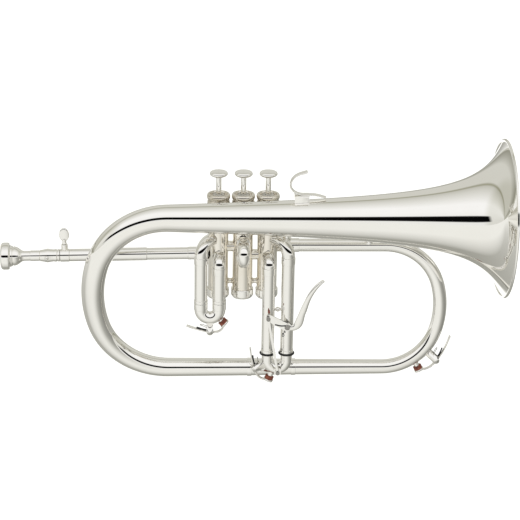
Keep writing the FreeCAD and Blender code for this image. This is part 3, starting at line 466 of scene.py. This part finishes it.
def build_sleeves(name, node, valve, legs, bends, end_z):
    """Two tubes that leave a valve, turn down and end in bands."""
    parts = []
    for leg, port_z, bend in zip(legs, (26.0, 9.0), bends):
        towards = (P(leg, LEG_Y, port_z) - P(valve, 0, port_z)).normalized()
        start = P(valve, 0, port_z) + towards * (8.7 * MM)
        line = bend_route([start, P(leg, LEG_Y, port_z), P(leg, LEG_Y, end_z)], [bend * MM])
        parts.append(pipe("tube", line, [SLEEVE] * len(line), SLEEVE - SLEEVE_BORE, SILVER, 72))
        parts.append(band("upper", P(leg, LEG_Y, port_z - bend - 7), Z_AXIS, 7, FERRULE, SLEEVE - 0.1))
        parts.append(band("lower", P(leg, LEG_Y, end_z), Z_AXIS, 3, FERRULE, SLEEVE - 0.1))
    place(join(name, parts), node, "silver_plate")


def crook(legs, top_z, arc_z, outer, inner):
    """A U of tube between two legs, open at the top."""
    half = abs(legs[0] - legs[1]) / 2
    left, right = min(legs), max(legs)
    points = [P(left, LEG_Y, top_z), P(left, LEG_Y, arc_z - half), P(right, LEG_Y, arc_z - half),
              P(right, LEG_Y, top_z)]
    line = bend_route(points, [half * MM, half * MM])
    return pipe("crook", line, [outer] * len(line), outer - inner, SILVER, 72)


def build_slides():
    """The three tuning slides and their sleeves."""
    first = (-41.0, -23.0)
    third = (44.0, 25.3)
    build_sleeves("first_sleeves_look", "first_slide_sleeves", -24.0, first, (14.0, 7.9), -35.6)
    build_sleeves("third_sleeves_look", "third_slide_sleeves", 24.0, third, (14.0, 7.9), -88.4)
    parts = [crook(first, -9.6, -42.6, SLIDE, SLIDE_BORE), crook(first, -35.75, -42.6, SLEEVE, SLIDE - 0.01)]
    for leg in first:
        parts.append(band("f", P(leg, LEG_Y, -42.6), Z_AXIS, 6.85, FERRULE, SLIDE))
    place(join("first_slide_look", parts), "first_slide", "silver_plate")
    refine("third_slide", SILVER, "silver_plate", 32.0)
    rings = []
    turn = [2 * math.pi * i / 24 for i in range(24)]
    outline = [(0.95 * math.sin(angle), 7.05 + 0.95 * math.cos(angle)) for angle in turn]
    for leg in third:
        rings.append(lathe("ring", outline, P(leg, LEG_Y, -89.45), Z_AXIS, RUBBER, 96, True, 60.0))
    place(join("bumper_rings_look", rings), "slide_bumper_rings", "bumper_rubber")

    parts = []
    for z in (24.9, 9.9):
        parts.append(band("sleeve", P(0, -19.0, z), Y_AXIS, 10.6, SLEEVE, SLEEVE_BORE))
    place(join("second_sleeves_look", parts), "second_slide_sleeves", "silver_plate")
    half = 7.5
    high, low, turn = 24.9, 9.9, -24.5 - half
    line = bend_route([P(0, -10.9, high), P(0, turn, high), P(0, turn, low), P(0, -10.9, low)], [half * MM] * 2)
    inner = pipe("legs", line, [SLIDE] * len(line), SLIDE - SLIDE_BORE, SILVER, 72)
    line = bend_route([P(0, -19.15, high), P(0, turn, high), P(0, turn, low), P(0, -19.15, low)], [half * MM] * 2)
    outer = pipe("bend", line, [6.0] * len(line), 0.21, SILVER, 72)
    place(join("second_slide_look", [inner, outer]), "second_slide", "silver_plate")


# ---------------------------------------------------------------- leadpipe and mouthpiece

# The leadpipe falls a little towards the mouthpiece.
FALL = math.radians(1.05)
LEAD = Vector((-math.cos(FALL), 0, -math.sin(FALL)))
LEAD_START = P(-24.0, 0, 9.9)


def build_lead():
    """The leadpipe, tuning shank, mouthpiece, and the clamp with its thumb screw."""
    outline = [(9.9, 5.4), (9.9, 6.3), (29.3, 6.3), (29.8, 5.85), (69.5, 5.85), (70.0, 6.35), (113.5, 6.35),
               (114.0, 6.05), (144.9, 6.05), (145.0, 5.75), (153.0, 5.75), (153.0, 5.36), (112.0, 5.36),
               (110.0, 5.0), (30.0, 5.25)]
    place(lathe("leadpipe_look", rounded(outline, 0.25), LEAD_START, LEAD, SILVER, 96, True, 50.0),
          "leadpipe", "silver_plate")
    outline = [(116.0, 4.7), (116.0, 5.3), (154.3, 5.3), (154.6, 6.1), (156.0, 6.2), (156.5, 5.7), (157.2, 5.7),
               (157.7, 6.2), (159.6, 6.1), (160.4, 5.9), (163.0, 6.2), (166.5, 6.8), (170.5, 5.9), (173.5, 5.5),
               (173.8, 5.3), (173.8, 4.76), (157.0, 4.46), (156.0, 4.7)]
    parts = [lathe("shank", rounded(outline, 0.4), LEAD_START, LEAD, SILVER, 96, True, 50.0)]
    upward = Y_AXIS.cross(LEAD)
    foot = LEAD_START + LEAD * (167.0 * MM)
    knob = [(2.1 * math.cos(a), 2.1 * math.sin(a)) for a in [math.pi * i / 20 for i in range(21)]]
    parts.append(lathe("knob", knob, foot - Y_AXIS * (7.6 * MM), -Y_AXIS, SILVER, 48, False, 60.0))
    place(join("shank_look", parts), "tuning_shank", "silver_plate")

    outline = [(157.5, 1.9), (157.5, 4.4), (173.9, 4.7), (174.2, 5.15), (183.0, 5.2), (183.4, 4.85), (189.4, 4.85),
               (191.0, 5.3), (192.6, 6.4), (194.4, 7.9), (196.5, 9.0), (198.8, 9.5), (199.4, 9.1), (199.9, 9.1),
               (200.4, 9.9), (202.4, 10.4), (203.0, 12.2), (203.6, 13.0), (205.4, 13.3), (209.2, 13.3),
               (210.6, 12.8), (211.4, 11.6), (211.6, 10.2), (211.0, 9.0), (209.0, 8.6), (204.0, 7.4), (199.0, 5.0),
               (195.0, 2.4), (190.0, 1.9)]
    place(lathe("mouthpiece_look", rounded(outline, 1.1, 5), LEAD_START, LEAD, SILVER, 128, True, 60.0),
          "mouthpiece", "silver_plate")

    foot = LEAD_START + LEAD * (149.6 * MM)
    collar = band("collar", LEAD_START + LEAD * (145.2 * MM), LEAD, 8.8, 6.35, 5.8)
    boss = lathe("boss", rounded([(5.9, 1.6), (5.9, 3.1), (11.6, 3.1), (11.6, 1.6)], 0.5), foot, upward, SILVER, 64,
                 True, 60.0)
    place(join("collar_look", [collar, boss]), "clamp_collar", "silver_plate")
    post = lathe("post", rounded([(7.8, 0.0), (7.8, 1.5), (11.9, 1.5), (11.9, 2.3), (13.6, 1.9), (17.0, 2.1),
                                  (17.0, 0.0)], 0.4), foot, upward, SILVER, 48, True, 60.0)
    wing = []
    for ring_y, grow in ((-1.25, 0.80), (-1.0, 0.93), (-0.55, 1.0), (0.55, 1.0), (1.0, 0.93), (1.25, 0.80)):
        loop = []
        for j in range(64):
            angle = 2 * math.pi * j / 64
            spot = foot + upward * ((21.4 + 6.7 * grow * math.cos(angle)) * MM)
            loop.append(spot + X_AXIS * (4.8 * grow * math.sin(angle) * MM) + Y_AXIS * (ring_y * MM))
        wing.append(loop)
    verts, faces = rings_to_mesh(wing, False)
    faces.append(tuple(range(64)))
    faces.append(tuple(range(5 * 64, 6 * 64)))
    plate = make_object("plate", verts, faces, SILVER, 60.0)
    place(join("clamp_screw_look", [post, plate]), "clamp_screw", "silver_plate")


# ---------------------------------------------------------------- valves

def build_valves():
    """Casings, caps, pistons, springs and buttons."""
    caps = []
    feet = []
    teeth = 60
    turns = 9
    for number in (1, 2, 3):
        x = (number - 2) * 24.0
        base = P(x, 0, 0)

        def knurl(along, j):
            inside = 0.0515 < along < 0.0632
            return (0.16 * MM if j % 4 < 2 else -0.10 * MM) if inside else 0.0

        skirt = [(50.0, 9.95), (50.0, 10.4), (50.5, 10.8), (51.4, 10.8), (51.6, 10.7), (63.1, 10.7), (63.3, 10.8),
                 (64.0, 10.8), (64.9, 10.2), (65.9, 10.8), (67.3, 11.3), (68.7, 11.4), (70.3, 11.0), (71.1, 10.3),
                 (71.4, 9.5), (71.3, 8.8), (70.6, 8.2), (68.6, 7.9), (67.3, 7.4), (66.6, 6.2), (66.5, 3.0),
                 (64.0, 3.0), (64.0, 9.95)]
        # The caps take the silver darkened with painted shade.
        caps.append(lathe("cap", skirt, base, Z_AXIS, SHADED_KNURL_SILVER, teeth * 4, True, 40.0, knurl))
        foot = [(-26.5, 9.95), (-26.5, 10.6), (-27.1, 11.1), (-32.5, 11.2), (-33.6, 11.1), (-34.7, 10.6),
                (-35.9, 9.6), (-36.5, 7.6), (-36.5, 1.5), (-34.9, 1.5), (-34.9, 8.72), (-30.6, 8.72), (-30.6, 9.95)]
        feet.append(lathe("foot", rounded(foot, 0.3), base, Z_AXIS, SILVER, 128, True, 45.0))
        # The casings take the silver darkened with painted shade.
        refine("valve_casing_%d" % number, SHADED_VALVE_SILVER, "valve_silver")
        refine("piston_%d" % number, PISTON, "piston_metal")
        spring = []
        for i in range(turns * 36 + 1):
            angle = 2 * math.pi * i / 36
            height = 41.3 + 18.5 * i / (turns * 36)
            spring.append(P(x + 6.0 * math.cos(angle), 6.0 * math.sin(angle), height))
        coil = pipe("spring", spring, [0.35] * len(spring), 0.3, STEEL, 8)
        place(coil, "valve_spring_%d" % number, "spring_steel")
        stem = rounded([(63.4, 0.0), (63.4, 2.6), (87.6, 2.6), (87.6, 0.0)], 0.2)
        place(lathe("stem_look", stem, base, Z_AXIS, SILVER, 64, True, 50.0), "valve_stem_%d" % number,
              "silver_plate")
        low, top = 87.6, 93.6
        button = [(low, 0.0), (low, 3.0), (low + 0.3, 4.0), (low + 0.8, 5.6), (low + 1.6, 7.2), (low + 2.4, 8.3),
                  (low + 3.2, 8.75), (low + 3.9, 8.75), (low + 4.6, 8.55), (top - 0.8, 8.1), (top - 0.35, 7.5),
                  (top - 0.15, 6.9), (top - 0.3, 5.6), (top - 0.45, 3.5), (top - 0.5, 0.0)]
        place(lathe("button_look", rounded(button, 0.5), base, Z_AXIS, SILVER, 96, True, 60.0),
              "finger_button_%d" % number, "silver_plate")
    place(join("top_caps_look", caps), "top_caps", "silver_plate")
    place(join("bottom_caps_look", feet), "bottom_caps", "silver_plate")
    refine("cap_felts", FELT, "felt")
    refine("valve_guides", NYLON, "guide_plastic")
    # The connectors take the same silver darkened with painted shade.
    refine("valve_connectors", SHADED_VALVE_SILVER, "valve_silver")


# ---------------------------------------------------------------- small parts

def wire(name, points, radius, material, segments=12):
    """A round wire through points in millimetres, smoothed a little at its corners."""
    line = []
    for i in range(len(points) - 1):
        before = points[max(i - 1, 0)]
        after = points[min(i + 2, len(points) - 1)]
        for s in range(6):
            t = s / 6
            a, b = points[i], points[i + 1]
            spot = 0.5 * ((2 * a) + (b - before) * t + (2 * before - 5 * a + 4 * b - after) * t * t +
                          (3 * a - before - 3 * b + after) * t ** 3)
            line.append(spot * MM)
    line.append(points[-1] * MM)
    loops = sweep_rings(line, [radius * MM] * len(line), segments)
    verts, faces = rings_to_mesh(loops, False)
    faces.append(tuple(range(segments)))
    faces.append(tuple(range(len(verts) - segments, len(verts))))
    return make_object(name, verts, faces, material, 60.0)


# Each water key: number, hinge pin, direction of the finger tip and of the tube in degrees,
# distance from the pin to the tube, and where the finger tip ends.
KEYS = (
    (1, (-32.0, -18.0, -65.4), 180.0, 90.0, 7.5, (22.8, 5.4)),
    (2, (13.4, -18.0, -105.5), 117.0, 27.0, 8.0, (21.2, 4.9)),
    (3, (196.1, -1.1, -104.5), 45.7, 135.7, 9.3, (27.2, 8.4)),
)


def key_frame(number):
    """A function from (along, y, towards the tube) about a key's hinge pin to a point, in millimetres."""
    _, origin, tip, tube, _, _ = KEYS[number - 1]
    along = Vector((math.cos(math.radians(tip)), 0, math.sin(math.radians(tip))))
    towards = Vector((math.cos(math.radians(tube)), 0, math.sin(math.radians(tube))))
    return lambda a, y, c: Vector(origin) + along * a + Y_AXIS * y + towards * c


def key_leg(number):
    """The spring's stout leg, lying along the finger arm on the tube's side."""
    spot = key_frame(number)
    rise = KEYS[number - 1][5][1] / KEYS[number - 1][5][0]
    line = [spot(3.6, 0, 0.9), spot(6.5, 0, 1.1 + 1.6 * rise), spot(10.0, 0, 1.3 + 5.5 * rise),
            spot(13.0, 0, 1.4 + 9.6 * rise)]
    return wire("leg", line, 0.7, BLUED, 12)


def build_key_springs():
    """Double-wound springs: a loop that leans on the tube, coils, and a stout leg under the finger arm."""
    for number, _, _, _, surface, _ in KEYS:
        spot = key_frame(number)
        parts = []
        for side in (-1, 1):
            coil = []
            for i in range(49):
                angle = 2 * math.pi * i / 24
                coil.append(spot(3.0 * math.sin(angle), side * (2.02 + 0.66 * i / 48), 3.0 * math.cos(angle)))
            parts.append(wire("coil", coil, 0.3, STEEL, 10))
        loop = [spot(0.2, -2.0, 3.0), spot(3.4, -2.0, surface - 3.4), spot(6.4, -1.9, surface - 1.9),
                spot(8.6, -1.5, surface - 1.4), spot(9.6, 0.0, surface - 1.2), spot(8.6, 1.5, surface - 1.4),
                spot(6.4, 1.9, surface - 1.9), spot(3.4, 2.0, surface - 3.4), spot(0.2, 2.0, 3.0)]
        parts.append(wire("loop", loop, 0.3, STEEL, 10))
        place(join("key_spring_look_%d" % number, parts), "water_key_spring_%d" % number, "spring_steel")


def build_trigger_spring():
    """Coils round the pivot post, one leg under the arm and one hanging in a small eye."""
    x, y, z = 43.9, -23.6, -57.4
    coil = [Vector((x + 4.2 * math.cos(a), y - 3.0 + 0.42 * a, z + 4.2 * math.sin(a)))
            for a in [2 * math.pi * i / 18 for i in range(19)]]
    arm = [Vector((x - 2.0, y - 6.3, z + 1.8)), Vector((x - 6.5, y - 6.3, z + 1.6)),
           Vector((x - 12.5, y - 6.2, z + 2.9))]
    eye = [Vector((x - 2.4, y - 4.2, z - 3.4)), Vector((x - 3.2, y - 4.8, z - 6.0)),
           Vector((x - 5.0, y - 4.8, z - 8.2)), Vector((x - 4.6, y - 4.8, z - 10.0)),
           Vector((x - 3.2, y - 4.7, z - 9.2)), Vector((x - 3.6, y - 4.6, z - 7.6)),
           Vector((x - 5.2, y - 4.6, z - 6.6))]
    return join("trigger_spring_look", [wire("coil", coil, 0.4, STEEL), wire("arm_leg", arm, 0.42, BLUED),
                                        wire("eye_leg", eye, 0.36, BLUED)])


def build_small_parts():
    """Braces, hook, trigger and water keys."""
    refine("tube_braces", SILVER, "silver_plate")
    refine("finger_hook", SILVER, "silver_plate", 40.0, 0.5)
    refine("trigger_bracket", SILVER, "silver_plate")
    refine("trigger_lever", SILVER, "silver_plate", 40.0, 0.3)
    refine("trigger_rod", SILVER, "silver_plate", 32.0, 0.2)
    refine("rod_screws", STEEL, "blued_steel", 32.0, 0.2)
    head = [(-1.0, 0.0), (-1.0, 1.3), (1.75, 1.3), (1.75, 2.9), (2.2, 2.9), (2.5, 2.5), (2.65, 1.2), (2.65, 0.0)]
    place(lathe("pivot_screw_look", head, P(43.9, -27.6, -57.4), -Y_AXIS, STEEL, 48, False, 30.0),
          "trigger_pivot_screw", "blued_steel")
    place(build_trigger_spring(), "trigger_spring", "blued_steel")
    post = rounded([(0.2, 0.0), (0.2, 1.1), (4.6, 1.1), (4.6, 0.0)], 0.2)
    place(lathe("bumper_look", post, P(25.5, -24.4, -41.8), -Y_AXIS, CORK, 32, False, 50.0),
          "trigger_bumper", "cork")
    for number in (1, 2, 3):
        refine("water_key_saddle_%d" % number, SILVER, "silver_plate")
        lever = refine("water_key_lever_%d" % number, SILVER, "silver_plate", 40.0)
        join(lever.name, [lever, key_leg(number)])
        refine("water_key_cork_%d" % number, CORK, "cork", 32.0, 0.3)


build_bows()
build_ferrules()
build_slides()
build_lead()
build_valves()
build_key_springs()
build_small_parts()


# ---------------------------------------------------------------- studio

def maths_in(tree):
    """A function that adds a maths node to a tree, fed by plain numbers or by other nodes."""
    def maths(operation, *values):
        node = tree.nodes.new("ShaderNodeMath")
        node.operation = operation
        for i, value in enumerate(values):
            if isinstance(value, float):
                node.inputs[i].default_value = value
            else:
                tree.links.new(value, node.inputs[i])
        return node.outputs["Value"]
    return maths


def set_stops(ramp, stops):
    """Gives a colour ramp over a full turn its stops, each an angle in degrees and a colour."""
    elements = ramp.color_ramp.elements
    while len(elements) < len(stops):
        elements.new(0.5)
    for element, (angle, colour) in zip(elements, stops):
        element.position = (angle + 180) / 360
        element.color = colour


def build_world():
    """A white tent round the instrument, split by the dark slit that the camera looks through."""
    world = bpy.data.worlds.new("tent")
    bpy.context.scene.world = world
    world.use_nodes = True
    nodes = world.node_tree.nodes
    links = world.node_tree.links
    background = nodes["Background"]
    maths = maths_in(world.node_tree)
    place_in = nodes.new("ShaderNodeTexCoord")
    split = nodes.new("ShaderNodeSeparateXYZ")
    links.new(place_in.outputs["Generated"], split.inputs["Vector"])

    front = maths("MULTIPLY", split.outputs["Y"], -1.0)
    around = maths("ARCTAN2", split.outputs["Z"], front)
    turn = maths("MULTIPLY_ADD", around, 1 / (2 * math.pi), 0.5)
    ramp = nodes.new("ShaderNodeValToRGB")
    links.new(turn, ramp.inputs["Fac"])
    # Angle round the X axis (0 in front, 90 overhead), brightness and warmth.
    stops = [(-180, 0.78, 0.04), (-120, 0.74, 0.04), (-88, 0.77, 0.04), (-62, 0.87, 0.025), (-35, 0.96, 0.01),
             (5, 0.93, 0.006), (45, 0.98, 0.0), (66, 0.98, 0.0), (88, 0.90, 0.015), (106, 0.83, 0.025),
             (117, 0.77, 0.035), (122, 0.60, 0.08), (128, 0.82, 0.03), (166, 0.82, 0.03), (180, 0.58, 0.05)]
    set_stops(ramp, [(angle, grey(value, warm)) for angle, value, warm in stops])

    slit = nodes.new("ShaderNodeValToRGB")
    links.new(turn, slit.inputs["Fac"])
    # The slit lies a little above level, in front.
    slit_stops = [(7.0, 0.0), (9.5, 1.0), (26.5, 1.0), (29.0, 0.0)]
    set_stops(slit, [(angle, (value, value, value, 1)) for angle, value in slit_stops])
    side = maths("ARCTAN2", split.outputs["X"], front)
    spread = maths("ABSOLUTE", side)
    fade = nodes.new("ShaderNodeMapRange")
    fade.inputs["From Min"].default_value = math.radians(66)
    fade.inputs["From Max"].default_value = math.radians(60)
    fade.inputs["To Min"].default_value = 0.0
    fade.inputs["To Max"].default_value = 1.0
    links.new(spread, fade.inputs["Value"])
    dark = maths("MULTIPLY", slit.outputs["Color"], fade.outputs["Result"])
    mix = nodes.new("ShaderNodeMixRGB")
    mix.inputs["Color2"].default_value = (0.002, 0.002, 0.002, 1)
    links.new(dark, mix.inputs["Fac"])
    links.new(ramp.outputs["Color"], mix.inputs["Color1"])
    reach = maths("ABSOLUTE", split.outputs["X"])
    wall = nodes.new("ShaderNodeValToRGB")
    links.new(reach, wall.inputs["Fac"])
    wall.color_ramp.interpolation = "EASE"
    wall.color_ramp.elements[0].position = 0.74
    wall.color_ramp.elements[0].color = (1, 1, 1, 1)
    wall.color_ramp.elements[1].position = 0.88
    wall.color_ramp.elements[1].color = (0.84, 0.84, 0.80, 1)
    walls = nodes.new("ShaderNodeMixRGB")
    walls.blend_type = "MULTIPLY"
    walls.inputs["Fac"].default_value = 1.0
    links.new(mix.outputs["Color"], walls.inputs["Color1"])
    links.new(wall.outputs["Color"], walls.inputs["Color2"])
    links.new(walls.outputs["Color"], background.inputs["Color"])
    background.inputs["Strength"].default_value = 1.0


FLOOR_SCALE = 10 / 3         # the floor is drawn 0.9 m down, and lies this many times further off
FLOOR_PAINT = (0.50, 0.50, 0.47)


def build_floor():
    """A wide pale floor, far below, glowing with painted light pooled in front of and behind the instrument, its
    colour darkened by painted shade in front towards the bell's side.
    """
    verts, faces = rings_to_mesh([[Vector((r * math.cos(2 * math.pi * j / 64), r * math.sin(2 * math.pi * j / 64),
                                           -0.9)) for j in range(64)] for r in (0.01, 1.0, 4.0, 40.0)], False)
    faces.append(tuple(range(64)))
    material, shader = new_material("floor_paint", FLOOR_PAINT + (1,), 0.0, 0.9)
    shader.inputs["Specular IOR Level"].default_value = 0.0
    nodes = material.node_tree.nodes
    links = material.node_tree.links
    maths = maths_in(material.node_tree)

    def fade(value, low, high, first, last):
        node = nodes.new("ShaderNodeMapRange")
        node.interpolation_type = "SMOOTHSTEP"
        for name, setting in (("From Min", low), ("From Max", high), ("To Min", first), ("To Max", last)):
            node.inputs[name].default_value = setting
        links.new(value, node.inputs["Value"])
        return node.outputs["Result"]

    place_in = nodes.new("ShaderNodeTexCoord")
    split = nodes.new("ShaderNodeSeparateXYZ")
    links.new(place_in.outputs["Object"], split.inputs["Vector"])
    # The pool of light behind the instrument, which the camera looks at.
    depth = split.outputs["Y"]
    slant = maths("DIVIDE", split.outputs["X"], maths("MAXIMUM", maths("ADD", depth, 0.5), 0.05))
    back = maths("MULTIPLY", fade(slant, 0.23, 0.36, 1.0, 0.0), fade(slant, -0.45, -0.14, 0.0, 1.0))
    back = maths("MULTIPLY", back, fade(depth, 1.15, 1.35, 0.0, 0.8))
    back = maths("MULTIPLY", back, fade(depth, 4.7, 5.3, 1.0, 0.0))
    # The light in front, which grows with distance and dims towards the bell's side.
    before = maths("MAXIMUM", maths("MULTIPLY", depth, -1.0), 0.0)
    before = maths("MULTIPLY_ADD", maths("ABSOLUTE", split.outputs["X"]), 0.09, before)
    rise = maths("DIVIDE", maths("MULTIPLY", before, 0.80), maths("ADD", before, 0.6))
    sideways = maths("DIVIDE", split.outputs["X"], maths("ADD", before, 0.4))
    right = fade(sideways, -0.1, 0.9, 1.0, 0.15)
    # Painted shade: the floor's colour darkens in front, towards the bell's side.
    shade = fade(sideways, 0.3, 1.8, 1.0, 0.62)
    shade = maths("MAXIMUM", shade, fade(depth, 0.2, 1.0, 0.0, 1.0))
    paint = nodes.new("ShaderNodeCombineXYZ")
    for axis, value in zip("XYZ", FLOOR_PAINT):
        links.new(maths("MULTIPLY", shade, value), paint.inputs[axis])
    links.new(paint.outputs["Vector"], shader.inputs["Base Color"])
    # The floor glows with this painted light.
    light = maths("ADD", back, maths("MULTIPLY", maths("MINIMUM", rise, 0.52), right))
    colour = nodes.new("ShaderNodeCombineXYZ")
    for axis in "XYZ":
        links.new(light, colour.inputs[axis])
    links.new(colour.outputs["Vector"], shader.inputs["Emission Color"])
    shader.inputs["Emission Strength"].default_value = 1.0
    floor = make_object("floor", verts, faces, material)
    floor.scale = (FLOOR_SCALE, FLOOR_SCALE, FLOOR_SCALE)


def build_camera():
    """The photograph's viewing angle: from the player's right, a little above."""
    azimuth, elevation, roll = math.radians(2.8), math.radians(21.0), math.radians(1.004)
    ahead = Vector((math.sin(azimuth) * math.cos(elevation), math.cos(azimuth) * math.cos(elevation),
                    -math.sin(elevation)))
    flat_right = Vector((math.cos(azimuth), -math.sin(azimuth), 0))
    flat_up = flat_right.cross(ahead)
    right = flat_right * math.cos(roll) + flat_up * math.sin(roll)
    up = flat_up * math.cos(roll) - flat_right * math.sin(roll)
    data = bpy.data.cameras.new("camera")
    data.lens = 120.0
    data.sensor_width = 36.0
    data.clip_end = 100.0
    camera = bpy.data.objects.new("camera", data)
    camera.matrix_world = Matrix(((right.x, up.x, -ahead.x, -0.06049), (right.y, up.y, -ahead.y, -1.58802),
                                  (right.z, up.z, -ahead.z, 0.61242), (0, 0, 0, 1)))
    bpy.context.scene.collection.objects.link(camera)
    bpy.context.scene.camera = camera
    bpy.context.scene.view_settings.view_transform = "Standard"


build_world()
build_floor()
build_camera()
